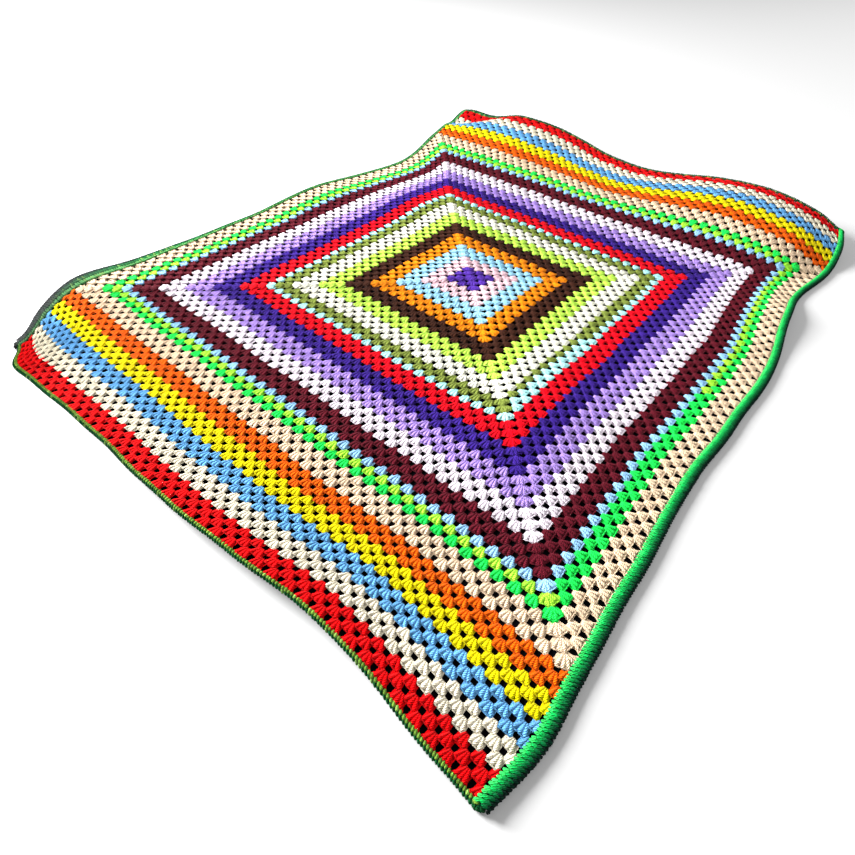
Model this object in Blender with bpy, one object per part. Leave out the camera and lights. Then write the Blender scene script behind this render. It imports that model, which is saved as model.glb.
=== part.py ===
"""Granny square blanket: four crocheted pieces lying as one loose cloth.

The pieces are the square, worked outwards in rounds, an end band worked on to its near side and
another on to its far side in straight rows, and an edging worked all round. The cloth lies flat on
the surface below it, but rises in soft folds, most of all towards the far end, where it stands in two
humps with a dip between them.

Frame: metres, +Z up, X across the cloth, Y along it from the near end to the far end. The origin is at
the middle of the bottom of the cloth's box. Each piece is laid out flat first, in flat-cloth
coordinates, and drape() then carries every point to where the lying cloth has it.
"""
import math

import bmesh
import bpy
import numpy as np

# ---- crochet gauge: everything flat follows from these -----------------------------------------
ROUND = 0.0115          # height of one round of the square
ROUNDS = 45             # rounds in the square
ROW = 0.0099            # height of one straight row of an end band
END_ROWS = 15           # rows in each end band
SHEET = 0.003           # thickness of the treble-stitch fabric
GAP = 0.0007            # clearance between neighbouring pieces

HALF_SQUARE = ROUND * ROUNDS
HALF_LENGTH = HALF_SQUARE + ROW * END_ROWS

# The edging, side by side. Its width is given at even steps along each side, going round from the far
# right corner by way of the far left one. It is rolled tight at the near end, and lies spread out where
# the left side nears its near corner. At the near end it hangs a little below the cloth.
EDGING_WIDTHS = {
    "far": (0.014, 0.008, 0.007, 0.008, 0.010),
    "left": (0.010, 0.009, 0.009, 0.009, 0.009, 0.010, 0.018, 0.035, 0.025),
    "near": (0.007, 0.006, 0.005, 0.005),
    "right": (0.016, 0.015, 0.014, 0.012, 0.012),
}
EDGING_HEIGHTS = {"far": 0.005, "left": 0.006, "near": 0.005, "right": 0.009}
EDGING_DROOPS = {"far": 0.0, "left": 0.0, "near": 0.003, "right": 0.0}

# ---- mesh fineness -------------------------------------------------------------------------------
SQUARE_CELLS = 32       # cells along each side of the square
BAND_CELLS = 8          # cells across an end band
CORNER_STEPS = 3        # steps round each corner of the edging
SQUARE_CUTS = np.linspace(-HALF_SQUARE, HALF_SQUARE, SQUARE_CELLS + 1)
BAND_CUTS = np.linspace(HALF_SQUARE, HALF_LENGTH, BAND_CELLS + 1)

# ---- the lie of the cloth ------------------------------------------------------------------------
# The far end lies higher than the rest: it climbs LIFT_HEIGHT between LIFT_START and LIFT_END.
LIFT_START = 0.32
LIFT_END = 0.51
LIFT_HEIGHT = 0.020

# Soft folds. Each is a smooth mound, or a hollow where its height is negative. x and y are its middle,
# heading is the direction of its long axis in degrees from X, and it fades to nothing at half_length
# along that axis and at half_width across it.
FOLDS = [
    # name,                x,     y,   heading, half_length, half_width, height
    ("far edge rise",      0.00,  0.76,   0,    1.20,        0.24,       0.015),
    ("right hump",         0.30,  0.62,   0,    0.36,        0.26,       0.045),
    ("left hump",         -0.34,  0.67,   0,    0.32,        0.24,       0.035),
    ("far left dip",      -0.46,  0.64,  30,    0.16,        0.06,      -0.020),
    ("right edge droop",   0.56,  0.48,  90,    0.24,        0.16,      -0.030),
    ("right edge wave",    0.54,  0.30,  90,    0.20,        0.16,       0.015),
    ("right swell",        0.30, -0.23, 100,    0.28,        0.18,       0.015),
    ("middle swell",       0.03, -0.02,  10,    0.28,        0.16,       0.010),
    ("left ridge",        -0.30,  0.18, 100,    0.20,        0.14,       0.010),
    ("left edge swell",   -0.53,  0.05,  90,    0.24,        0.18,       0.010),
    ("near lip",           0.16, -0.70,   0,    0.56,        0.18,       0.025),
]

# Where the loose stitches have been pulled sideways, by dx and dy at x and y, fading out at reach.
PULLS = [
    # name,                x,     y,   reach,  dx,    dy
    ("far left corner",   -0.52,  0.66, 0.30, -0.04,  0.04),
    ("far edge left",     -0.20,  0.70, 0.35,  0.00,  0.05),
    ("far edge right",     0.40,  0.70, 0.20,  0.00,  0.01),
    ("far right corner",   0.53,  0.69, 0.24, -0.02,  0.00),
    ("left edge dip",     -0.53,  0.35, 0.30,  0.03,  0.00),
    ("right edge dip",     0.55,  0.35, 0.28, -0.03,  0.00),
    ("right edge lower",   0.55, -0.20, 0.30, -0.01,  0.00),
    ("near right corner",  0.54, -0.68, 0.22,  0.02,  0.00),
    ("near edge right",    0.30, -0.68, 0.28,  0.00,  0.02),
    ("near edge left",    -0.38, -0.68, 0.20,  0.00, -0.01),
    ("left side near",    -0.54, -0.52, 0.16, -0.02,  0.00),
    ("near left corner",  -0.54, -0.69, 0.26,  0.09,  0.00),
    ("near left tip",     -0.54, -0.69, 0.12,  0.01,  0.02),
    ("far right tip",      0.54,  0.69, 0.10, -0.01, -0.02),
    ("near right tip",     0.54, -0.70, 0.16, -0.03,  0.00),
]
SETTLE = 0.002          # how softly a fold leaves the surface the cloth lies on


def fade(distance):
    """1 at distance 0, falling smoothly to 0 at distance 1 and beyond."""
    return np.clip(1 - distance ** 2, 0, None) ** 3


def drape(flat_x, flat_y):
    """Where the underside of the cloth lies, for points given on the flat cloth."""
    flat_x = np.asarray(flat_x, float)
    flat_y = np.asarray(flat_y, float)
    climb = np.clip((flat_y - LIFT_START) / (LIFT_END - LIFT_START), 0, 1)
    rise = LIFT_HEIGHT * climb * climb * (3 - 2 * climb)
    for _, x, y, heading, half_length, half_width, height in FOLDS:
        along = math.radians(heading)
        s = (flat_x - x) * math.cos(along) + (flat_y - y) * math.sin(along)
        t = (flat_y - y) * math.cos(along) - (flat_x - x) * math.sin(along)
        rise = rise + height * fade(np.hypot(s / half_length, t / half_width))
    rise = np.clip(rise, 0, None)
    lying_x, lying_y = flat_x, flat_y
    for _, x, y, reach, dx, dy in PULLS:
        pull = fade(np.hypot(flat_x - x, flat_y - y) / reach)
        lying_x = lying_x + dx * pull
        lying_y = lying_y + dy * pull
    return np.stack([lying_x, lying_y, rise * rise / (rise + SETTLE)], axis=-1)


def edging_width(side, part_way):
    """The width of the edging, this part of the way (0 to 1) along a side."""
    widths = EDGING_WIDTHS[side]
    return np.interp(part_way, np.linspace(0, 1, len(widths)), widths)


def edging_loop(share, level):
    """A closed loop round the lying cloth, this share of the way across the edging and up it."""
    long_cuts = np.concatenate([-BAND_CUTS[:0:-1], SQUARE_CUTS, BAND_CUTS[1:]])
    corners = np.array([(1, 1), (-1, 1), (-1, -1), (1, -1)]) * (HALF_SQUARE, HALF_LENGTH)
    sides = ("right", "far", "left", "near")
    flat, droops, heights = [], [], []
    for k, corner in enumerate(corners):
        side = sides[k]
        following = sides[(k + 1) % 4]
        for step in range(CORNER_STEPS + 1):
            turn = step / CORNER_STEPS
            angle = math.radians(90 * (k + turn))
            out = np.array((math.cos(angle), math.sin(angle)))
            width = edging_width(side, 1) * (1 - turn) + edging_width(following, 0) * turn
            flat.append(corner + (GAP + share * width) * out)
            droops.append(EDGING_DROOPS[side] * (1 - turn) + EDGING_DROOPS[following] * turn)
            heights.append(EDGING_HEIGHTS[side] * (1 - turn) + EDGING_HEIGHTS[following] * turn)
        run = corners[(k + 1) % 4] - corner
        cuts = SQUARE_CUTS if k % 2 == 0 else long_cuts
        for cut in cuts[1:-1]:
            part_way = (cut / cuts[-1] + 1) / 2
            flat.append(corner + (GAP + share * edging_width(following, part_way)) * out + run * part_way)
            droops.append(EDGING_DROOPS[following])
            heights.append(EDGING_HEIGHTS[following])
    flat = np.array(flat)
    lying = drape(flat[:, 0], flat[:, 1])
    lying[:, 2] = np.clip(lying[:, 2] - share * np.array(droops), 0, None) + level * np.array(heights)
    return lying


def middle_shift():
    """What brings the middle of the lying cloth's box to the origin."""
    outline = edging_loop(1, 0)
    low = outline.min(axis=0)
    high = outline.max(axis=0)
    return np.array([-(low[0] + high[0]) / 2, -(low[1] + high[1]) / 2, 0])


def material(name, colour, roughness):
    """A plain yarn material."""
    made = bpy.data.materials.new(name)
    made.use_nodes = True
    shader = made.node_tree.nodes["Principled BSDF"]
    shader.inputs["Base Color"].default_value = (*colour, 1)
    shader.inputs["Roughness"].default_value = roughness
    shader.inputs["Metallic"].default_value = 0
    made.diffuse_color = (*colour, 1)
    return made


def add_object(name, bm, yarn):
    """Put a finished bmesh into the scene as one named object."""
    bmesh.ops.recalc_face_normals(bm, faces=bm.faces)
    mesh = bpy.data.meshes.new(name)
    bm.to_mesh(mesh)
    bm.free()
    mesh.materials.append(yarn)
    made = bpy.data.objects.new(name, mesh)
    bpy.context.collection.objects.link(made)
    return made


def sheet(name, x_cuts, y_cuts, yarn):
    """A closed sheet of even thickness over a grid of cuts on the flat cloth."""
    grid_x, grid_y = np.meshgrid(x_cuts, y_cuts, indexing="ij")
    under = drape(grid_x, grid_y) + SHIFT
    bm = bmesh.new()
    layers = []
    for lift in (0, SHEET):
        layers.append([[bm.verts.new(point + (0, 0, lift)) for point in line] for line in under])
    bottom, top = layers
    columns = len(x_cuts) - 1
    rows = len(y_cuts) - 1
    for i in range(columns):
        for j in range(rows):
            bm.faces.new((bottom[i][j], bottom[i][j + 1], bottom[i + 1][j + 1], bottom[i + 1][j]))
            bm.faces.new((top[i][j], top[i + 1][j], top[i + 1][j + 1], top[i][j + 1]))
    for i in range(columns):
        for j in (0, rows):
            bm.faces.new((bottom[i][j], bottom[i + 1][j], top[i + 1][j], top[i][j]))
    for j in range(rows):
        for i in (0, columns):
            bm.faces.new((bottom[i][j], bottom[i][j + 1], top[i][j + 1], top[i][j]))
    return add_object(name, bm, yarn)


def square():
    """The square of rounds."""
    return sheet("granny_square", SQUARE_CUTS, SQUARE_CUTS, material("square_yarn", (0.42, 0.30, 0.60), 0.9))


def end_band(name, side):
    """One band of straight rows, on the near side of the square (-1) or the far side (1)."""
    y_cuts = side * BAND_CUTS
    y_cuts[0] += side * GAP
    return sheet(name, SQUARE_CUTS, y_cuts, material(name + "_yarn", (0.90, 0.32, 0.02), 0.9))


def edging():
    """The green band of short stitches round the whole cloth, curled over to its outer side."""
    # corners of the section: share of the width outwards, share of the height upwards
    section = [(0, 0), (0.9, 0), (1, 0.2), (0.85, 0.75), (0.5, 1), (0, 0.7)]
    bm = bmesh.new()
    loops = []
    for share, level in section:
        loops.append([bm.verts.new(point) for point in edging_loop(share, level) + SHIFT])
    count = len(loops[0])
    for k, loop in enumerate(loops):
        following = loops[(k + 1) % len(loops)]
        for i in range(count):
            j = (i + 1) % count
            bm.faces.new((loop[i], loop[j], following[j], following[i]))
    return add_object("edging", bm, material("edging_yarn", (0.03, 0.42, 0.18), 0.9))


for old in list(bpy.data.objects):
    bpy.data.objects.remove(old, do_unlink=True)

SHIFT = middle_shift()
square()
end_band("near_end_band", -1)
end_band("far_end_band", 1)
edging()
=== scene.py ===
# %% [markdown]
# # A granny square blanket, stitch by stitch
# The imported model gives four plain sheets: the square, a band at each end and the edging. They lie
# exactly as the blanket lies, but they are smooth. Here every cluster of treble stitches becomes real
# geometry on those same folds, so that the holes, the stepped colour changes and the knobbly edging
# are shapes and not paint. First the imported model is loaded, and its box is kept to compare later.

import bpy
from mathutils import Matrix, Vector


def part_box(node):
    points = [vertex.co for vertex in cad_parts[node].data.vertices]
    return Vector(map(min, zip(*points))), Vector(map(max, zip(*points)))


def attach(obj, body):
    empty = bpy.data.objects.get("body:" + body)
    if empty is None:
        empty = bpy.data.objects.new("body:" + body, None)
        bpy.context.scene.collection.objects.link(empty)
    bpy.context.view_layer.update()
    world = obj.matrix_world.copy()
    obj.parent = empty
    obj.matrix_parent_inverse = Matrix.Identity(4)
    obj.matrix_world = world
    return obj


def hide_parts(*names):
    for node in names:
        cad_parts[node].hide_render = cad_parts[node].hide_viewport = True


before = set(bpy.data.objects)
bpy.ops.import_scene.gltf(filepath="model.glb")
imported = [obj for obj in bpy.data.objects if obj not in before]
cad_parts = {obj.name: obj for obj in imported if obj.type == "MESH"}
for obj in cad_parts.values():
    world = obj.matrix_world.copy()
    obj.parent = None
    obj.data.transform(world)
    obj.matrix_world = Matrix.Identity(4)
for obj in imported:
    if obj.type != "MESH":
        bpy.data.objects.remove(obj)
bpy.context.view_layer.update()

import math

import bmesh
import bpy
import numpy as np
from mathutils import Matrix, Vector

print("nodes:", ", ".join(sorted(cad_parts)))

# %% [markdown]
# ## The gauge
# Crochet is counted, not measured: this blanket has 45 rounds in its square and 15 straight rows at
# each end. One cluster is three trebles worked into one gap, and a round grows by one cluster on
# each side, so a cluster is exactly two rounds wide. Every size below follows from these few values.

# %% Gauge of the crochet
ROUND = 0.0115           # height of one round of the square
ROUNDS = 45
ROW = 0.0099             # height of one straight row of an end band
END_ROWS = 15
PITCH = 2 * ROUND        # from one cluster to the next along a round
HALF_SQUARE = ROUND * ROUNDS
HALF_LENGTH = HALF_SQUARE + ROW * END_ROWS
GAP = 0.0007             # between the square, the bands and the edging
print(f"square {2 * HALF_SQUARE:.3f} m, length without the edging {2 * HALF_LENGTH:.3f} m")

# %% [markdown]
# ## How the cloth lies
# A cloth simulation could drop the blanket on the floor, but its folds would land anywhere. The lie
# is known, so it is written down instead: soft mounds lift the cloth, and soft pulls drag the loose
# stitches sideways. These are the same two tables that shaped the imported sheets, so the stitches
# land on them. Each stitch is first placed on the flat blanket and then carried along by drape().

# %% Folds
LIFT_START = 0.32        # the far end climbs between these two places
LIFT_END = 0.51
LIFT_HEIGHT = 0.020
SETTLE = 0.002           # how softly a fold leaves the floor

# a mound, or a hollow where its height is negative, fading out at its half length and half width
FOLDS = [
    # name,                x,     y,   heading, half_length, half_width, height
    ("far edge rise",      0.00,  0.76,   0,    1.20,        0.24,       0.015),
    ("right hump",         0.30,  0.62,   0,    0.36,        0.26,       0.045),
    ("left hump",         -0.34,  0.67,   0,    0.32,        0.24,       0.035),
    ("far left dip",      -0.46,  0.64,  30,    0.16,        0.06,      -0.020),
    ("right edge droop",   0.56,  0.48,  90,    0.24,        0.16,      -0.030),
    ("right edge wave",    0.54,  0.30,  90,    0.20,        0.16,       0.015),
    ("right swell",        0.30, -0.23, 100,    0.28,        0.18,       0.015),
    ("middle swell",       0.03, -0.02,  10,    0.28,        0.16,       0.010),
    ("left ridge",        -0.30,  0.18, 100,    0.20,        0.14,       0.010),
    ("left edge swell",   -0.53,  0.05,  90,    0.24,        0.18,       0.010),
    ("near lip",           0.16, -0.70,   0,    0.56,        0.18,       0.025),
]
print(len(FOLDS), "folds, the highest", max(fold[-1] for fold in FOLDS), "m")

# %% Pulls
# the stitches at x and y are dragged by dx and dy, and those around them less, out to reach
PULLS = [
    # name,                x,     y,   reach,  dx,    dy
    ("far left corner",   -0.52,  0.66, 0.30, -0.04,  0.04),
    ("far edge left",     -0.20,  0.70, 0.35,  0.00,  0.05),
    ("far edge right",     0.40,  0.70, 0.20,  0.00,  0.01),
    ("far right corner",   0.53,  0.69, 0.24, -0.02,  0.00),
    ("left edge dip",     -0.53,  0.35, 0.30,  0.03,  0.00),
    ("right edge dip",     0.55,  0.35, 0.28, -0.03,  0.00),
    ("right edge lower",   0.55, -0.20, 0.30, -0.01,  0.00),
    ("near right corner",  0.54, -0.68, 0.22,  0.02,  0.00),
    ("near edge right",    0.30, -0.68, 0.28,  0.00,  0.02),
    ("near edge left",    -0.38, -0.68, 0.20,  0.00, -0.01),
    ("left side near",    -0.54, -0.52, 0.16, -0.02,  0.00),
    ("near left corner",  -0.54, -0.69, 0.26,  0.09,  0.00),
    ("near left tip",     -0.54, -0.69, 0.12,  0.01,  0.02),
    ("far right tip",      0.54,  0.69, 0.10, -0.01, -0.02),
    ("near right tip",     0.54, -0.70, 0.16, -0.03,  0.00),
]
print(len(PULLS), "pulls")


# %% Drape a point of the flat blanket
def fade(distance):
    """1 at distance 0, falling smoothly to 0 at distance 1 and beyond."""
    return np.clip(1 - distance ** 2, 0, None) ** 3


def drape(flat_x, flat_y):
    """Where the underside of the cloth lies, for points given on the flat blanket."""
    climb = np.clip((flat_y - LIFT_START) / (LIFT_END - LIFT_START), 0, 1)
    rise = LIFT_HEIGHT * climb * climb * (3 - 2 * climb)
    for _, x, y, heading, half_length, half_width, height in FOLDS:
        along = math.radians(heading)
        s = (flat_x - x) * math.cos(along) + (flat_y - y) * math.sin(along)
        t = (flat_y - y) * math.cos(along) - (flat_x - x) * math.sin(along)
        rise = rise + height * fade(np.hypot(s / half_length, t / half_width))
    rise = np.clip(rise, 0, None)
    lying_x, lying_y = flat_x, flat_y
    for _, x, y, reach, dx, dy in PULLS:
        pull = fade(np.hypot(flat_x - x, flat_y - y) / reach)
        lying_x = lying_x + dx * pull
        lying_y = lying_y + dy * pull
    return np.stack([lying_x, lying_y, rise * rise / (rise + SETTLE)], axis=-1)


print("the middle of the far edge lies at", drape(0.0, HALF_LENGTH).round(3))

# %% [markdown]
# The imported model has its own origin, in the middle of the blanket's box. Draping a grid of points of
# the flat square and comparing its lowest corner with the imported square's gives the shift between the
# two. After that lie() does all the placing, and lets the rows wander a little, as handwork does.

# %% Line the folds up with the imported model
side = np.linspace(-HALF_SQUARE, HALF_SQUARE, 33)
square_x, square_y = np.meshgrid(side, side)
SHIFT = np.array(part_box("granny_square")[0]) - drape(square_x, square_y).reshape(-1, 3).min(axis=0)
SHIFT[2] = 0
print("shift of the flat blanket:", SHIFT.round(4))

# %% Lay points on the folds
WANDER = 0.0009          # how far the rows wander from true, in waves of unlike lengths


def lie(points, fall=0.0):
    """Carry points given on the flat blanket, with their height over its underside, to where they lie.
    fall lets them hang that much below the cloth, but never below the floor.
    """
    points = np.asarray(points, float)
    x, y = points[..., 0], points[..., 1]
    aside_x = WANDER * (np.sin(31 * y + 7 * x + 1.0) + 0.6 * np.sin(19 * x - 47 * y))
    aside_y = WANDER * (np.sin(29 * x + 11 * y) + 0.6 * np.sin(53 * x - 17 * y + 2.0))
    lying = drape(x + aside_x, y + aside_y) + SHIFT
    lying[..., 2] = np.clip(lying[..., 2] - fall, 0, None) + points[..., 2]
    return lying


print("the middle of the square lies at", lie((0, 0, 0)).round(3))

# %% [markdown]
# ## Camera and studio
# The camera comes early, because every look at the work is judged through it. It stands low over
# the near right corner with a wide lens, so that corner looms large and the far end recedes.

# %% Camera
SENSOR = 36              # width of the film, in mm
IMAGE = 855              # rows and columns of the render
FOCAL = 545              # focal length, in rows of the render
CAMERA_AT = Vector((0.53, -0.77, 0.57)) + Vector(SHIFT)
HEADING = 39             # degrees to the left of straight up the blanket
DIP = 46.5               # degrees below level
ROLL = 2                 # degrees that the camera leans

lens = bpy.data.cameras.new("camera")
lens.sensor_width = SENSOR
lens.lens = SENSOR * FOCAL / IMAGE
lens.clip_start = 0.01
camera = bpy.data.objects.new("camera", lens)
turn = Matrix.Rotation(math.radians(HEADING), 4, "Z") @ Matrix.Rotation(math.radians(90 - DIP), 4, "X")
lean = Matrix.Rotation(math.radians(ROLL), 4, "Z")
camera.matrix_world = Matrix.Translation(CAMERA_AT) @ turn @ lean
bpy.context.scene.collection.objects.link(camera)
bpy.context.scene.camera = camera
print("camera at", [round(value, 3) for value in CAMERA_AT])

# %% [markdown]
# The floor is a plain pale plane. The main light is a soft lamp on the left, low enough to rake over
# the stitches, so that each has a shaded side and the raised edges throw a shadow to the right. Alone
# it would leave the floor behind the blanket grey, so a second lamp shines on that floor, and a pale
# sky fills the shadows. The view transform is plain too, so the yarns keep the colours given below.


# %% Colours and plain materials
def srgb(red, green, blue):
    """A colour given as 0 to 255 screen values, as the linear values that shaders take."""
    values = np.array((red, green, blue)) / 255
    low = values / 12.92
    high = ((values + 0.055) / 1.055) ** 2.4
    return tuple(np.where(values <= 0.04045, low, high))


def plain(name, colour, roughness):
    """A plain matt material, for what doesn't need the look of yarn."""
    made = bpy.data.materials.new(name)
    made.use_nodes = True
    shader = made.node_tree.nodes["Principled BSDF"]
    shader.inputs["Base Color"].default_value = (*colour, 1)
    shader.inputs["Roughness"].default_value = roughness
    shader.inputs["Specular IOR Level"].default_value = 0
    return made


def add_mesh(name, points, faces, material):
    """A mesh object from points and faces."""
    mesh = bpy.data.meshes.new(name)
    mesh.from_pydata([tuple(point) for point in points], [], faces)
    mesh.materials.append(material)
    made = bpy.data.objects.new(name, mesh)
    bpy.context.scene.collection.objects.link(made)
    return made


print("white is", srgb(255, 255, 255))

# %% Floor
FLOOR_HALF = 6
FLOOR_DROP = 0.0005      # keeps the floor just clear of the blanket's underside
FLOOR_GREY = 0.46
floor_corners = [(-FLOOR_HALF, -FLOOR_HALF, 0), (FLOOR_HALF, -FLOOR_HALF, 0),
                 (FLOOR_HALF, FLOOR_HALF, 0), (-FLOOR_HALF, FLOOR_HALF, 0)]
floor = add_mesh("floor", floor_corners, [(0, 1, 2, 3)], plain("pale_floor", (FLOOR_GREY,) * 3, 0.6))
floor.location.z = -FLOOR_DROP
print("floor:", 2 * FLOOR_HALF, "m square")


# %% Lamps and sky
def lamp(name, size, power, at, target):
    """A square area lamp at one point, facing another."""
    light = bpy.data.lights.new(name, "AREA")
    light.size = size
    light.energy = power
    made = bpy.data.objects.new(name, light)
    made.location = at
    made.rotation_euler = (Vector(target) - Vector(at)).to_track_quat("-Z", "Y").to_euler()
    bpy.context.scene.collection.objects.link(made)


SKY_STRENGTH = 0.55
lamp("key_light", size=1.5, power=650, at=(-2.8, -1.1, 1.4), target=(0, 0, 0))
lamp("far_light", size=3.0, power=420, at=(4.2, 4.2, 2.8), target=(2.4, 4.4, 0))
world = bpy.data.worlds.new("pale_sky")
bpy.context.scene.world = world
world.use_nodes = True
world.node_tree.nodes["Background"].inputs["Color"].default_value = (1, 1, 1, 1)
world.node_tree.nodes["Background"].inputs["Strength"].default_value = SKY_STRENGTH
bpy.context.scene.view_settings.view_transform = "Standard"
print("two soft lamps and a pale sky")

# %% [markdown]
# ## Yarn
# Yarn is two or three plies twisted together, matt and a little fuzzy, and each cluster takes the dye
# and the light a little differently. A picture of yarn would blur and repeat. Instead each strand
# carries its own coordinates, once round it and along its length, and the plies are sine waves
# wound round the strand. A tint, drawn once for each cluster, keeps one colour from looking printed.
# A material is a tree of nodes, so first come short helpers that add one node each.


# %% Helpers for nodes
def calculate(tree, operation, *values):
    """One sum. Each value is a number or another node's output."""
    node = tree.nodes.new("ShaderNodeMath")
    node.operation = operation
    for slot, value in enumerate(values):
        if isinstance(value, (int, float)):
            node.inputs[slot].default_value = value
        else:
            tree.links.new(value, node.inputs[slot])
    return node.outputs[0]


def noise(tree, place, scale, detail):
    """A cloudy pattern from 0 to 1 in space, with this many clouds to the metre."""
    node = tree.nodes.new("ShaderNodeTexNoise")
    node.inputs["Scale"].default_value = scale
    node.inputs["Detail"].default_value = detail
    tree.links.new(place, node.inputs["Vector"])
    return node.outputs[0]


def stored(tree, name):
    """A value or colour that is stored on the mesh under this name."""
    node = tree.nodes.new("ShaderNodeAttribute")
    node.attribute_name = name
    return node.outputs


def bump(tree, height, distance, strength, normal=None):
    """A relief of this depth in metres, on top of another relief if there is one."""
    node = tree.nodes.new("ShaderNodeBump")
    node.inputs["Strength"].default_value = strength
    node.inputs["Distance"].default_value = distance
    tree.links.new(height, node.inputs["Height"])
    if normal is not None:
        tree.links.new(normal, node.inputs["Normal"])
    return node.outputs[0]


# %% The twist of the plies
PLY_SPACING = 0.0029     # from one ply to the next along the yarn
PLIES = 5                # ridges round a strand


def twist(tree):
    """1 on the ridge of a ply and 0 in the groove beside it, wound round the strand."""
    coordinates = tree.nodes.new("ShaderNodeUVMap")
    coordinates.uv_map = "along_yarn"
    split = tree.nodes.new("ShaderNodeSeparateXYZ")
    tree.links.new(coordinates.outputs[0], split.inputs[0])
    around = calculate(tree, "MULTIPLY", split.outputs[0], PLIES)
    turns = calculate(tree, "MULTIPLY_ADD", split.outputs[1], 1 / PLY_SPACING, around)
    wave = calculate(tree, "SINE", calculate(tree, "MULTIPLY", turns, 2 * math.pi))
    return calculate(tree, "MULTIPLY_ADD", wave, 0.5, 0.5)


print("ply spacing:", PLY_SPACING, "m")

# %% Yarn material
GROOVE_SHADE = 0.30            # painted shade: how bright the grooves between the plies are beside the dye
RIDGE_HIGHLIGHT = 1.2              # painted highlight: how bright the ridges are beside the dye
FUZZ = 700               # the fibres, in clouds to the metre
UNEVEN_DYE = 70          # patches where the dye took better, in clouds to the metre
SHARES = {"tint": 0.14, "plies": 0.65, "fuzz": 0.55, "patches": 0.25}   # what each adds to the brightness
PLY_DEPTH = 0.0012
FUZZ_DEPTH = 0.0005


def yarn(name, screen_colour=None):
    """A matt twisted yarn. With no colour it takes the one stored on the mesh as 'dye_and_shade': the yarn's
    colour, with painted shade where the edging curls down.
    """
    made = bpy.data.materials.new(name)
    made.use_nodes = True
    tree = made.node_tree
    shader = tree.nodes["Principled BSDF"]
    shader.inputs["Roughness"].default_value = 0.9
    shader.inputs["Specular IOR Level"].default_value = 0.04    # more gloss turns dark yarn grey
    shader.inputs["Sheen Weight"].default_value = 0.02
    shader.inputs["Sheen Roughness"].default_value = 0.5

    plies = twist(tree)
    place = tree.nodes.new("ShaderNodeTexCoord").outputs["Object"]
    fuzz = noise(tree, place, FUZZ, 3)
    patches = noise(tree, place, UNEVEN_DYE, 2)
    bright = calculate(tree, "MULTIPLY", plies, SHARES["plies"])
    bright = calculate(tree, "MULTIPLY_ADD", stored(tree, "tint")["Fac"], SHARES["tint"], bright)
    bright = calculate(tree, "MULTIPLY_ADD", fuzz, SHARES["fuzz"], bright)
    bright = calculate(tree, "MULTIPLY_ADD", patches, SHARES["patches"], bright)

    # the mix paints shade in the grooves between the plies and a highlight on their ridges
    mix = tree.nodes.new("ShaderNodeMix")
    mix.data_type = "RGBA"
    factor, groove, ridge = mix.inputs[0], mix.inputs[6], mix.inputs[7]    # 6 and 7 are the colours
    tree.links.new(bright, factor)
    if screen_colour is None:
        # the stored colour, which carries the edging's painted shade
        dye_and_shade = stored(tree, "dye_and_shade")["Color"]
        darker = tree.nodes.new("ShaderNodeVectorMath")
        darker.operation = "SCALE"
        darker.inputs["Scale"].default_value = GROOVE_SHADE
        tree.links.new(dye_and_shade, darker.inputs[0])
        tree.links.new(darker.outputs[0], groove)
        tree.links.new(dye_and_shade, ridge)
    else:
        colour = srgb(*screen_colour)
        groove.default_value = (*[GROOVE_SHADE * value for value in colour], 1)
        ridge.default_value = (*[min(1, RIDGE_HIGHLIGHT * value) for value in colour], 1)
    tree.links.new(mix.outputs[2], shader.inputs["Base Color"])
    relief = bump(tree, plies, PLY_DEPTH, 1.0)
    tree.links.new(bump(tree, fuzz, FUZZ_DEPTH, 0.9, relief), shader.inputs["Normal"])
    return made


# %% [markdown]
# ## The colours, as they were worked
# The maker changed yarn every few rounds. Each line of the table is one stripe: its yarn, its first
# and last round, counted from the middle, and its colour.

# %% Stripes of the square and of the end bands
ROUND_STRIPES = [
    # yarn,          first, last, colour
    ("purple",           1,   3, (80, 45, 155)),
    ("pink",             4,   6, (255, 200, 210)),
    ("sky_blue",         7,   9, (155, 210, 250)),
    ("orange",          10,  12, (255, 135, 10)),
    ("brown",           13,  15, (60, 30, 18)),
    ("lime",            16,  18, (190, 245, 85)),
    ("cream",           19,  21, (255, 250, 220)),
    ("olive",           22,  23, (125, 140, 60)),
    ("aqua",            24,  24, (175, 245, 245)),
    ("red",             25,  27, (230, 0, 25)),
    ("indigo",          28,  30, (55, 30, 130)),
    ("lavender",        31,  33, (165, 135, 215)),
    ("pale_pink",       34,  36, (250, 225, 240)),
    ("maroon",          37,  39, (90, 15, 30)),
    ("light_blue",      40,  40, (145, 195, 240)),
    ("leaf_green",      41,  41, (160, 235, 60)),
    ("bright_green",    42,  42, (30, 235, 85)),
    ("tan",             43,  45, (230, 202, 170)),
]
ROW_STRIPES = [
    # yarn,          first, last, colour
    ("fire_orange",      1,   3, (255, 95, 0)),
    ("yellow",           4,   6, (255, 220, 0)),
    ("mid_blue",         7,   9, (100, 165, 220)),
    ("ivory",           10,  12, (235, 225, 200)),
    ("scarlet",         13,  15, (225, 0, 5)),
]
YARNS = {name: yarn(name + "_yarn", colour) for name, _, _, colour in ROUND_STRIPES + ROW_STRIPES}
YARN_NUMBER = {name: number for number, name in enumerate(YARNS)}
print(len(YARNS), "yarns")

# %% [markdown]
# ## One cluster of three trebles
# A treble is a tall stitch. Three of them, worked into the same gap, stand close together at the
# foot and spread like a fan at the top, and their tops make a small chain that the next round sits
# on. It could be one flat leaf, but then the light would find no strands. So each post is a tube
# that swells towards its top, and a thinner tube runs along the tops. One cluster is made once, with
# few faces, because the blanket has over five thousand.

# %% A strand of yarn
POST_SIDES = 5
CHAIN_SIDES = 3


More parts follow.
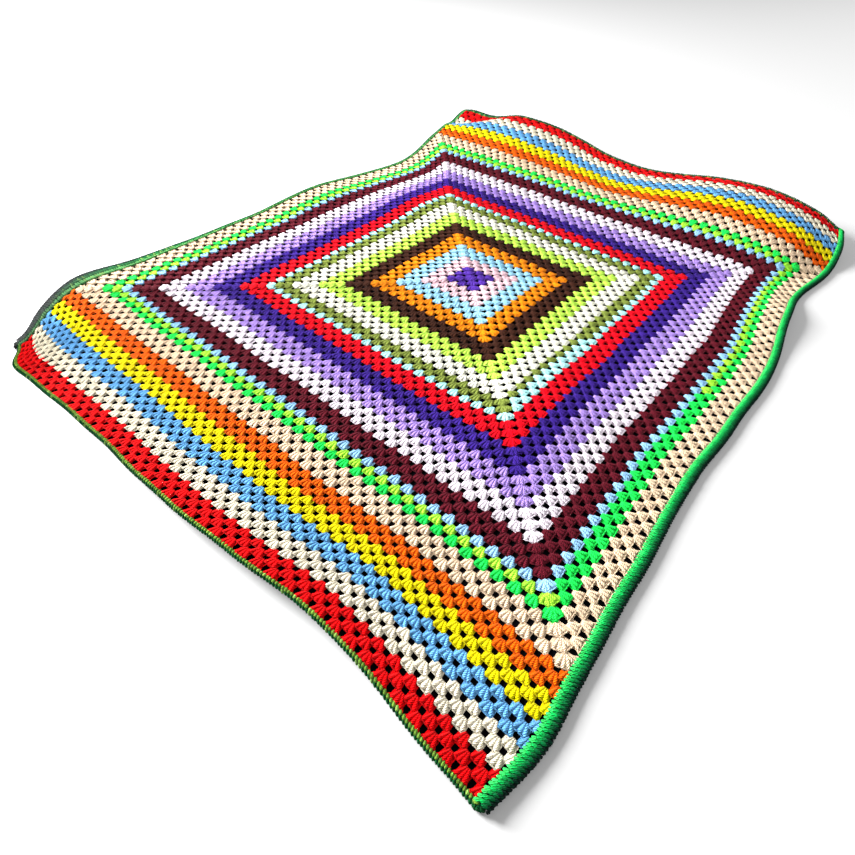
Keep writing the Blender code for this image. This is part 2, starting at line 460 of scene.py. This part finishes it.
def strand(rings, sides, across):
    """A closed tube through rings of (x, y, z, half width, half height). across is the axis, 0 or 1, that
    the half width lies along. Gives its points, its faces and each face corner's place on the yarn."""
    points, faces, corners = [], [], []
    lengths = [0.0]
    for ring, following in zip(rings, rings[1:]):
        lengths.append(lengths[-1] + math.dist(ring[:3], following[:3]))
    for x, y, z, half_width, half_height in rings:
        for k in range(sides):
            angle = 2 * math.pi * (k + 0.25) / sides
            point = [x, y, z + half_height * math.sin(angle)]
            point[across] += half_width * math.cos(angle)
            points.append(point)
    for i in range(len(rings) - 1):
        for k in range(sides):
            following = (k + 1) % sides
            here, ahead = i * sides, (i + 1) * sides
            faces.append((here + k, here + following, ahead + following, ahead + k))
            around_face = ((k, i), (k + 1, i), (k + 1, i + 1), (k, i + 1))
            corners += [(step / sides, lengths[level]) for step, level in around_face]
    for level, order in ((0, range(sides - 1, -1, -1)), (len(rings) - 1, range(sides))):
        faces.append(tuple(level * sides + k for k in order))
        corners += [(k / sides, lengths[level]) for k in order]
    return points, faces, corners


def join_strands(strands):
    """Several strands as one shape, each point with the number of its strand."""
    points, faces, corners, numbers = [], [], [], []
    for number, (some_points, some_faces, some_corners) in enumerate(strands):
        faces += [tuple(index + len(points) for index in face) for face in some_faces]
        points += some_points
        corners += some_corners
        numbers += [number] * len(some_points)
    return {"points": np.array(points), "faces": faces,
            "corners": np.array(corners), "strand": np.array(numbers)}


print("a strand has", POST_SIDES, "sides in a post and", CHAIN_SIDES, "in a chain")

# %% The posts and the chain of one cluster
MID = 0.0017             # the middle of the stitches above the cloth's underside
SPREAD = 0.0054          # how far a side post leans out; each ring takes its share of this
POST_RINGS = [
    # share of the spread, share of the round, height, half width, half thickness
    (0.28, -0.31, 0.0003, 0.0017, 0.0011),
    (0.60,  0.12, 0.0005, 0.0020, 0.0014),
    (0.96,  0.62, 0.0004, 0.0026, 0.0016),
    (1.20,  0.96, -0.0003, 0.0027, 0.0011),
]
CHAIN_HALF = 0.38 * PITCH    # half the length of the chain over a whole cluster
CHAIN = [
    # share of its half length, share of the round, height, half width
    (-1.00, 0.92, 0.0000, 0.0009),
    (-0.62, 0.98, 0.0005, 0.0013),
    (-0.30, 0.94, 0.0004, 0.0009),
    ( 0.00, 0.98, 0.0005, 0.0012),
    ( 0.30, 0.94, 0.0004, 0.0009),
    ( 0.62, 0.98, 0.0005, 0.0013),
    ( 1.00, 0.92, 0.0000, 0.0009),
]


def cluster(posts, chain_from, chain_to):
    """A fan of posts, each given as -1 to 1 for how far it leans, and the chain along their tops."""
    strands = []
    for lean in posts:
        rings = [(lean * SPREAD * spread, out * ROUND, z, width, thick)
                 for spread, out, z, width, thick in POST_RINGS]
        strands.append(strand(rings, POST_SIDES, across=0))
    middle, half = (chain_from + chain_to) / 2, (chain_to - chain_from) / 2
    rings = [(middle + share * half, out * ROUND, z, width, width) for share, out, z, width in CHAIN]
    strands.append(strand(rings, CHAIN_SIDES, across=1))
    return join_strands(strands)


CLUSTERS = {
    "whole": cluster((-1, 0, 1), -CHAIN_HALF, CHAIN_HALF),
    "left_end": cluster((0.15, 0.95), 0.0, CHAIN_HALF),
    "right_end": cluster((-0.95, -0.15), -CHAIN_HALF, 0.0),
}
print("one cluster:", len(CLUSTERS["whole"]["points"]), "points,", len(CLUSTERS["whole"]["faces"]), "faces")

# %% [markdown]
# ## Where the clusters go
# A round has as many clusters on each side as its number. Each sits over the gap between two
# clusters of the round before. At a corner two clusters share one gap and lean apart. On two rounds
# the maker ran out of one yarn on the right-hand side and went on with the next one. The straight
# rows of the end bands run the same way, with half a cluster at each end of every other row.

# %% Plan of the square
CORNER_LEAN = math.radians(20)
CHANGED_PART_WAY = {23: "aqua", 41: "bright_green"}   # round: the yarn it goes on with

square_plan = []         # (shape, u, v, heading, lean, yarn, leaf clip on the left, on the right)
yarn_of_round = {number: name for name, first, last, _ in ROUND_STRIPES for number in range(first, last + 1)}
for number in range(1, ROUNDS + 1):
    for side_number in range(4):
        heading = math.radians(90 * side_number - 90)
        for k in range(number):
            at_left, at_right = k == 0, k == number - 1
            lean = CORNER_LEAN * (int(at_right) - int(at_left))
            u = (k - (number - 1) / 2) * PITCH
            name = yarn_of_round[number]
            if number in CHANGED_PART_WAY and side_number == 0 and u > 0 and not at_right:
                name = CHANGED_PART_WAY[number]
            square_plan.append(("whole", u, (number - 1) * ROUND, heading, lean, name, at_left, at_right))
print("square:", len(square_plan), "clusters")


# %% Plan of an end band
def band_plan(heading):
    """The clusters of one end band, from the square outwards."""
    plan = []
    for name, first, last, _ in ROW_STRIPES:
        for row in range(first, last + 1):
            v = HALF_SQUARE + GAP + (row - 1) * ROW
            count = ROUNDS - row % 2
            for k in range(count):
                plan.append(("whole", (k - (count - 1) / 2) * PITCH, v, heading, 0.0, name, False, False))
            if row % 2:
                plan.append(("left_end", -HALF_SQUARE, v, heading, 0.0, name, False, False))
                plan.append(("right_end", HALF_SQUARE, v, heading, 0.0, name, False, False))
    return plan


PLANS = {"near_end_band": band_plan(math.pi), "far_end_band": band_plan(0.0)}
print("end bands:", {band: len(plan) for band, plan in PLANS.items()}, "clusters")

# %% [markdown]
# ## Work the clusters
# Handwork is never even, so each cluster is turned, shifted and sized a little at random, and each
# post leans its own way. Thousands of separate objects would be slow, so all the clusters of one
# yarn are joined as one mesh, whose points are computed together and handed over as whole arrays.

# %% Stamp one shape many times
luck = np.random.default_rng(45)    # seeded, so that every run makes the same blanket
# the hand's small errors, in metres where nothing else is said
POST_STRAYS = (0.00045, 0.0004, 0.00025)    # of a post's top: sideways, outwards and up
CLUSTER_TURNS = 0.045    # radians
CLUSTER_SIZES = 0.03     # as a share of its size
CLUSTER_STRAYS = 0.0004
CLUSTER_LIFTS = 0.00025


def turned(u, v, heading):
    """A point given across and outwards from the middle, on the side with this heading."""
    return u * np.cos(heading) - v * np.sin(heading), u * np.sin(heading) + v * np.cos(heading)


def stamp(shape, u, v, heading, lean, stretch):
    """Copies of one shape on the flat blanket, one for each foot point, with the hand's small errors."""
    count = len(u)
    x, y, z = shape["points"].T
    strands = shape["strand"].max() + 1
    stray = luck.normal(0, POST_STRAYS, (count, strands, 3))[:, shape["strand"]]
    top = np.clip(y / ROUND, 0, 1)[None]
    turn = luck.normal(0, CLUSTER_TURNS, count)[:, None] + np.asarray(lean)[:, None]
    size = 1 + luck.normal(0, CLUSTER_SIZES, count)[:, None]
    shift_x, shift_y = luck.normal(0, CLUSTER_STRAYS, (2, count, 1))
    lift = np.abs(luck.normal(0, CLUSTER_LIFTS, count))[:, None]
    x = x[None] * size + stray[..., 0] * top
    y = y[None] * stretch + stray[..., 1] * top
    local_x = x * np.cos(turn) + y * np.sin(turn) + shift_x + np.asarray(u)[:, None]
    local_y = y * np.cos(turn) - x * np.sin(turn) + shift_y + np.asarray(v)[:, None]
    flat_x, flat_y = turned(local_x, local_y, np.asarray(heading)[:, None])
    return np.stack([flat_x, flat_y, z[None] + stray[..., 2] * top + lift + MID], axis=-1)


# %% Make a mesh of many copies
def mesh_of_copies(name, groups, material):
    """One joined piece from groups of (shape, its lying copies, colour of each or None)."""
    points, loops, totals, yarn_places, tints, dyes_and_shade = [], [], [], [], [], []
    offset = 0
    for shape, copies, colours in groups:
        count, per = copies.shape[:2]
        sizes = [len(face) for face in shape["faces"]]
        pattern = np.concatenate([np.array(face) for face in shape["faces"]])
        loops.append((pattern[None] + per * np.arange(count)[:, None]).ravel() + offset)
        totals.append(np.tile(sizes, count))
        points.append(copies.reshape(-1, 3))
        yarn_places.append(np.tile(shape["corners"], (count, 1)))
        tints.append(np.repeat(luck.uniform(-1, 1, count), per))
        if colours is not None:
            dyes_and_shade.append(np.repeat(colours, per, axis=0))
        offset += count * per
    points, loops, totals = np.concatenate(points), np.concatenate(loops), np.concatenate(totals)
    mesh = bpy.data.meshes.new(name)
    mesh.vertices.add(len(points))
    mesh.vertices.foreach_set("co", points.astype(np.float32).ravel())
    mesh.loops.add(len(loops))
    mesh.loops.foreach_set("vertex_index", loops.astype(np.int32))
    mesh.polygons.add(len(totals))
    mesh.polygons.foreach_set("loop_start", np.concatenate([[0], np.cumsum(totals)[:-1]]).astype(np.int32))
    mesh.polygons.foreach_set("loop_total", totals.astype(np.int32))
    mesh.update(calc_edges=True)
    mesh.polygons.foreach_set("use_smooth", np.ones(len(totals), bool))
    along = mesh.uv_layers.new(name="along_yarn")
    along.data.foreach_set("uv", np.concatenate(yarn_places).astype(np.float32).ravel())
    tint = mesh.attributes.new("tint", "FLOAT", "POINT")
    tint.data.foreach_set("value", np.concatenate(tints).astype(np.float32))
    # the colour of each copy, which on the edging carries painted shade
    if dyes_and_shade:
        dye_and_shade = mesh.attributes.new("dye_and_shade", "FLOAT_COLOR", "POINT")
        colours = np.concatenate(dyes_and_shade)
        with_alpha = np.hstack([colours, np.ones((len(colours), 1))])
        dye_and_shade.data.foreach_set("color", with_alpha.astype(np.float32).ravel())
    mesh.materials.append(material)
    made = bpy.data.objects.new(name, mesh)
    bpy.context.scene.collection.objects.link(made)
    return made


# %% Crochet the square and the bands
def crochet(name, plan, stretch):
    """The clusters of one plan, as one piece for each yarn."""
    pieces = []
    for yarn_name in dict.fromkeys(step[5] for step in plan):
        groups = []
        for shape_name, shape in CLUSTERS.items():
            steps = [step[1:5] for step in plan if step[5] == yarn_name and step[0] == shape_name]
            if steps:
                u, v, heading, lean = np.array(steps).T
                groups.append((shape, lie(stamp(shape, u, v, heading, lean, stretch)), None))
        pieces.append(mesh_of_copies(f"{name}_{yarn_name}", groups, YARNS[yarn_name]))
    return pieces


square_pieces = crochet("square", square_plan, 1)
band_pieces = {band: crochet(band, plan, ROW / ROUND) for band, plan in PLANS.items()}
print("pieces in the square:", len(square_pieces))
print("pieces in the bands:", {band: len(pieces) for band, pieces in band_pieces.items()})

# %% [markdown]
# ## The cloth between the strands
# Inside a cluster the strands touch and their fuzz closes what is left, and only the triangles between
# clusters are open. A thin web does that: one leaf for each cluster, joined to its neighbours at the tops and
# feet, with real holes between.

# %% One leaf of the web
FOOT = 0.35              # half width of a leaf at its foot, as a share of the pitch
WAIST = 0.36             # and at its waist
WAIST_OUT = 0.58         # how far out the waist is, as a share of the row
WEB_LIFT = MID - 0.0003  # the web lies a little under the middle of the strands
WEB_STRAND = 0.006       # the web carries the look of strands this wide
WELD = 0.0001            # leaves whose corners are this near are joined


def leaf_points(plan, height):
    """The eight corners of each leaf of the plan: two at the foot, two at the waist, four at the top.
    Gives them on the flat blanket, with their height over its underside. Where a leaf stands at a
    corner of the square, that side of it runs along the diagonal.
    """
    u, v, heading = np.array([step[1:4] for step in plan]).T
    left = np.array([step[6] for step in plan])
    right = np.array([step[7] for step in plan])
    low = np.where([step[0] == "left_end" for step in plan], 0, -1)[:, None]
    high = np.where([step[0] == "right_end" for step in plan], 0, 1)[:, None]
    across = np.stack([
        np.where(left, 0, -FOOT), np.where(right, 0, FOOT),
        np.where(left, -WAIST_OUT / 2, -WAIST), np.where(right, WAIST_OUT / 2, WAIST),
        *(np.full(len(u), place) for place in (-0.5, FOOT - 0.5, 0.5 - FOOT, 0.5)),
    ], axis=1)
    across = np.clip(across, low, high)
    outwards = np.array([0, 0, WAIST_OUT, WAIST_OUT, 1, 1, 1, 1])[None] * height
    flat_x, flat_y = turned(across * PITCH + u[:, None], outwards + v[:, None], heading[:, None])
    return np.stack([flat_x, flat_y, np.full(flat_x.shape, WEB_LIFT)], axis=-1).reshape(-1, 3)


print("one leaf is", round(2 * WAIST * PITCH, 4), "m wide at its waist")


# %% Work the webs
def web(name, plan, height):
    """One thin sheet with a leaf for each cluster of the plan, joined where leaves meet."""
    leaves = leaf_points(plan, height)
    bm = bmesh.new()
    verts = [bm.verts.new(point) for point in lie(leaves)]
    places = bm.loops.layers.uv.new("along_yarn")
    flat = leaves[:, :2] / (WEB_STRAND, 1)
    for i, step in enumerate(plan):
        for corners in ((0, 1, 3, 2), (2, 3, 7, 6, 5, 4)):
            face = bm.faces.new([verts[8 * i + corner] for corner in corners])
            face.material_index = YARN_NUMBER[step[5]]
            face.smooth = True
            for loop, corner in zip(face.loops, corners):
                loop[places].uv = flat[8 * i + corner]
    bmesh.ops.remove_doubles(bm, verts=bm.verts, dist=WELD)
    mesh = bpy.data.meshes.new(name)
    bm.to_mesh(mesh)
    bm.free()
    for material in YARNS.values():
        mesh.materials.append(material)
    made = bpy.data.objects.new(name, mesh)
    bpy.context.scene.collection.objects.link(made)
    return made


square_web = web("square_web", square_plan, ROUND)
band_webs = {band: web(band + "_web", plan, ROW) for band, plan in PLANS.items()}
print("webs:", [len(piece.data.polygons) for piece in (square_web, *band_webs.values())], "faces")

# %% [markdown]
# ## The edging
# Rounds of short stitches in a yarn dyed in many greens run all round the blanket. They are worked tight, so
# the band curls over and down at its outer side. Each short stitch shows as a slanted lump. A ribbed cord
# would look too even, so every lump is a small strand of its own, set in rows over the curl, on a plain core
# that closes the band. The outer rows, where it curls down, are darker: partly the yarn's own greens and
# partly painted shade. Where the left side nears its near corner the edging lies spread out, and its colour
# is darkened to charcoal as painted shade.

# %% Size of the edging
# widths at even steps along each side, going round from the far right corner by way of the far left one
EDGING_WIDTHS = {
    "far": (0.014, 0.008, 0.007, 0.008, 0.010),
    "left": (0.010, 0.009, 0.009, 0.009, 0.009, 0.010, 0.018, 0.035, 0.025),
    "near": (0.007, 0.006, 0.005, 0.005),
    "right": (0.016, 0.015, 0.014, 0.012, 0.012),
}
EDGING_HEIGHTS = {"far": 0.005, "left": 0.006, "near": 0.005, "right": 0.009}
EDGING_DROOPS = {"far": 0.0, "left": 0.0, "near": 0.003, "right": 0.0}   # how far it hangs down
print("widest edging:", {side: max(widths) for side, widths in EDGING_WIDTHS.items()})

# %% One short stitch
SHORT_PITCH = 0.0044     # from one short stitch to the next
SHORT_SIDES = 5
SHORT_HALF = 0.0031      # half its length
SHORT_RINGS = [
    # share of its length, sideways slant, half width, half thickness
    (-1.0, -0.0007, 0.0008, 0.0006),
    (-0.4, -0.0004, 0.0020, 0.0016),
    ( 0.4,  0.0004, 0.0021, 0.0017),
    ( 1.0,  0.0008, 0.0009, 0.0006),
]
STITCHED_WIDTH = 0.014   # the width of edging that short stitches of plain length fill
SHORTEST, LONGEST = 0.8, 2.2   # how far a stitch shrinks or stretches with the edging's width
rings = [(slant, share * SHORT_HALF, 0, width, thick) for share, slant, width, thick in SHORT_RINGS]
short_stitch = join_strands([strand(rings, SHORT_SIDES, across=0)])
print("one short stitch:", len(short_stitch["faces"]), "faces")

# %% Rows and colours of the edging
# rows over the curl: share of the width, share of the height, tilt in degrees
CURL_ROWS = {
    "right": [(0.08, 0.60, -18), (0.34, 0.80, -6), (0.60, 0.80, 12), (0.82, 0.64, 42), (0.92, 0.38, 72)],
    "far": [(0.15, 0.60, -10), (0.75, 0.55, 45)],
    "left": [(0.10, 0.60, -15), (0.40, 0.70, 0), (0.66, 0.60, 12), (0.88, 0.40, 50)],
    "near": [(0.20, 0.60, -10), (0.75, 0.50, 55)],
}
# colours of the rows, from the inner side outwards; the outer rows curl down, and their darker greens are
# partly the yarn's own and partly painted shade
CURL_DYES_AND_SHADE = {
    "right": [(60, 225, 105), (10, 180, 80), (0, 120, 60), (0, 52, 36), (4, 22, 20)],
    "far": [(30, 95, 50), (8, 42, 30)],
    "left": [(110, 200, 110), (30, 130, 65), (10, 65, 42), (20, 40, 35)],
    "near": [(120, 165, 60), (15, 95, 45)],
}
print("rows of stitches:", {side: len(rows) for side, rows in CURL_ROWS.items()})

# %% Where the short stitches stand
SIDES = ["right", "far", "left", "near"]
CORNER_STITCHES = 4      # stitches worked into each corner
CORNERS = np.array([(1, 1), (-1, 1), (-1, -1), (1, -1)]) * (HALF_SQUARE, HALF_LENGTH)


def along_side(widths, part_way):
    """A width from a row of widths that stand at even steps, this part of the way (0 to 1) along a side."""
    return np.interp(part_way, np.linspace(0, 1, len(widths)), widths)


def edging_stations():
    """Where the short stitches stand, all round. Each row is a foot point, the direction outwards, the
    number of its side, and the edging's width, height and droop there.
    """
    rows = []
    for k, corner in enumerate(CORNERS):
        here, ahead = SIDES[k], SIDES[(k + 1) % 4]
        for step in range(CORNER_STITCHES):
            turn = step / CORNER_STITCHES
            angle = math.radians(90 * (k + turn))
            width = EDGING_WIDTHS[here][-1] * (1 - turn) + EDGING_WIDTHS[ahead][0] * turn
            height = EDGING_HEIGHTS[here] * (1 - turn) + EDGING_HEIGHTS[ahead] * turn
            droop = EDGING_DROOPS[here] * (1 - turn) + EDGING_DROOPS[ahead] * turn
            rows.append((*corner, math.cos(angle), math.sin(angle), k, width, height, droop))
        angle = math.radians(90 * (k + 1))
        following = CORNERS[(k + 1) % 4]
        count = round(math.dist(corner, following) / SHORT_PITCH)
        for step in range(count):
            foot = corner + (following - corner) * step / count
            width = along_side(EDGING_WIDTHS[ahead], step / count)
            rows.append((*foot, math.cos(angle), math.sin(angle), (k + 1) % 4, width,
                         EDGING_HEIGHTS[ahead], EDGING_DROOPS[ahead]))
    return np.array(rows)


stations = edging_stations()
print("edging:", len(stations), "stitches round")

# %% Work the edging
FLECK = np.array(srgb(190, 235, 120))
FLECK_CHANCE = 0.10      # how many stitches of the two inner rows are flecked
FLECKS = {"right": 0.0, "far": 0.4, "left": 0.4, "near": 0.4}   # how strongly
# painted shade: near the near left corner the edging's colour is darkened towards charcoal
CHARCOAL_SHADE = np.array(srgb(48, 48, 50))
CHARCOAL_END = 0.3       # the left side starts to darken this far from its near corner
CHARCOAL_FADE = 0.2      # and takes this long to get as dark as it will
CHARCOAL_INNER, CHARCOAL_OUTER = 0.75, 0.95   # how dark the inmost row gets, and the others
DYE_LUCK = (0.75, 1.2)   # a stitch's brightness beside its dye
SHORT_TURNS = 0.08       # the hand's small errors, in radians and metres and as a share of the size
SHORT_STRAYS = 0.0003
SHORT_SIZES = 0.06
LOWEST = 0.0005          # no part of a stitch comes nearer to the underside than this
groups = []
for side_number, side_name in enumerate(SIDES):
    here = stations[stations[:, 4] == side_number]
    foot, out = here[:, 0:2], here[:, 2:4]
    along = np.stack([-out[:, 1], out[:, 0]], axis=1)
    width, tall, droop = here[:, 5:6], here[:, 6:7], here[:, 7:8]
    count = len(here)
    for row, ((share, level, tilt), dye_and_shade) in enumerate(zip(CURL_ROWS[side_name], CURL_DYES_AND_SHADE[side_name])):
        tilted = math.radians(tilt) + luck.normal(0, SHORT_TURNS, count)[:, None]
        x, y, z = short_stitch["points"].T
        sway = luck.normal(0, SHORT_STRAYS, count)[:, None] + (row % 2) * SHORT_PITCH / 2
        scale = 1 + luck.normal(0, SHORT_SIZES, count)[:, None]
        longer = scale * np.clip(width / STITCHED_WIDTH, SHORTEST, LONGEST)
        outwards = GAP + share * width + y[None] * longer * np.cos(tilted) + z[None] * np.sin(tilted)
        sideways = x[None] * scale + sway
        height = level * tall - y[None] * scale * np.sin(tilted) + z[None] * np.cos(tilted)
        flat = foot[:, None] + out[:, None] * outwards[..., None] + along[:, None] * sideways[..., None]
        copies = lie(np.concatenate([flat, np.clip(height, LOWEST, None)[..., None]], axis=-1), share * droop)
        # the row's colour, which on the outer rows carries painted shade
        colour = np.tile(srgb(*dye_and_shade), (count, 1))
        if row < 2:
            fleck = (luck.random(count) < FLECK_CHANCE)[:, None] * FLECKS[side_name]
            colour = colour * (1 - fleck) + FLECK * fleck
        # painted charcoal shade, growing towards the near left corner
        if side_name == "left":
            from_corner = foot[:, 1:] + HALF_LENGTH
            dark = CHARCOAL_OUTER if row else CHARCOAL_INNER
            dark = dark * np.clip((CHARCOAL_END - from_corner) / CHARCOAL_FADE, 0, 1)
            colour = colour * (1 - dark) + CHARCOAL_SHADE * dark
        groups.append((short_stitch, copies, colour * luck.uniform(*DYE_LUCK, (count, 1))))
edging_yarn = yarn("edging_yarn")
edging_stitches = mesh_of_copies("edging_stitches", groups, edging_yarn)
print("edging:", len(edging_stitches.data.polygons), "faces")

# %% The core of the edging
CORE_STEP = 4            # the core has a section at every fourth stitch
# its outline in section, as shares of the edging's width and height
CORE_SECTION = [(0.02, 0.02), (0.80, 0.05), (0.90, 0.25), (0.78, 0.55), (0.45, 0.70), (0.02, 0.55)]


def core():
    """The closed band under the stitches. Its inner wall closes the view under the last row."""
    every = stations[::CORE_STEP]
    loops = []
    for share, level in CORE_SECTION:
        flat = every[:, 0:2] + every[:, 2:4] * (GAP + share * every[:, 5:6])
        loops.append(lie(np.concatenate([flat, level * every[:, 6:7]], axis=1), share * every[:, 7]))
    points = np.concatenate(loops)
    count = len(every)
    faces = []
    for k in range(len(loops)):
        for i in range(count):
            j = (i + 1) % count
            following = (k + 1) % len(loops)
            faces.append((k * count + i, k * count + j, following * count + j, following * count + i))
    return add_mesh("edging_core", points, faces, plain("dark_core_yarn", srgb(8, 60, 35), 0.95))


edging_core = core()
print("core:", len(edging_core.data.polygons), "faces")

# %% [markdown]
# ## Where it lies
# Light comes up through the holes from a pale floor, and the stitches lose their edges. So a black sheet lies
# just under the blanket, following its folds, and paints the shade in the holes. It is not attached to the
# blanket's body.

# %% Painted shade under the holes
PATCH_CELLS = 48
PATCH_OUTSET = 0.005     # how far it reaches out under the edging
PATCH_DROP = 0.0010      # how far it hangs below the folds
PATCH_CLEARANCE = 0.0003   # and below the blanket where that lies flat


def lay_painted_shade():
    """A black sheet of the blanket's outline, just under it, as painted shade in the holes."""
    cuts = np.linspace(-1, 1, PATCH_CELLS + 1)
    across, along = cuts * (HALF_SQUARE + PATCH_OUTSET), cuts * (HALF_LENGTH + PATCH_OUTSET)
    x, y = np.meshgrid(across, along, indexing="ij")
    points = lie(np.stack([x, y, np.zeros(x.shape)], axis=-1), PATCH_DROP).reshape(-1, 3)
    points[:, 2] -= PATCH_CLEARANCE
    faces = []
    for i in range(PATCH_CELLS):
        for j in range(PATCH_CELLS):
            first = i * (PATCH_CELLS + 1) + j
            faces.append((first, first + PATCH_CELLS + 1, first + PATCH_CELLS + 2, first + 1))
    return add_mesh("painted_shade_sheet", points, faces, plain("painted_shade_below", (0.003, 0.003, 0.004), 0.9))


# a black sheet, as painted shade seen through the holes
painted_shade_sheet = lay_painted_shade()
print("dark cloth:", len(painted_shade_sheet.data.polygons), "faces")

# %% [markdown]
# ## Hand over
# Every piece rides on the blanket's one body and stands for the imported sheet that it covers.

# %% Rides
for piece in [square_web, *square_pieces]:
    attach(piece, "root")
    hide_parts("granny_square")
for band, pieces in band_pieces.items():
    for piece in [band_webs[band], *pieces]:
        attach(piece, "root")
        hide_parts(band)
for piece in (edging_stitches, edging_core):
    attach(piece, "root")
    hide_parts("edging")

print("declared:", 1 + len(band_webs), "sheets")
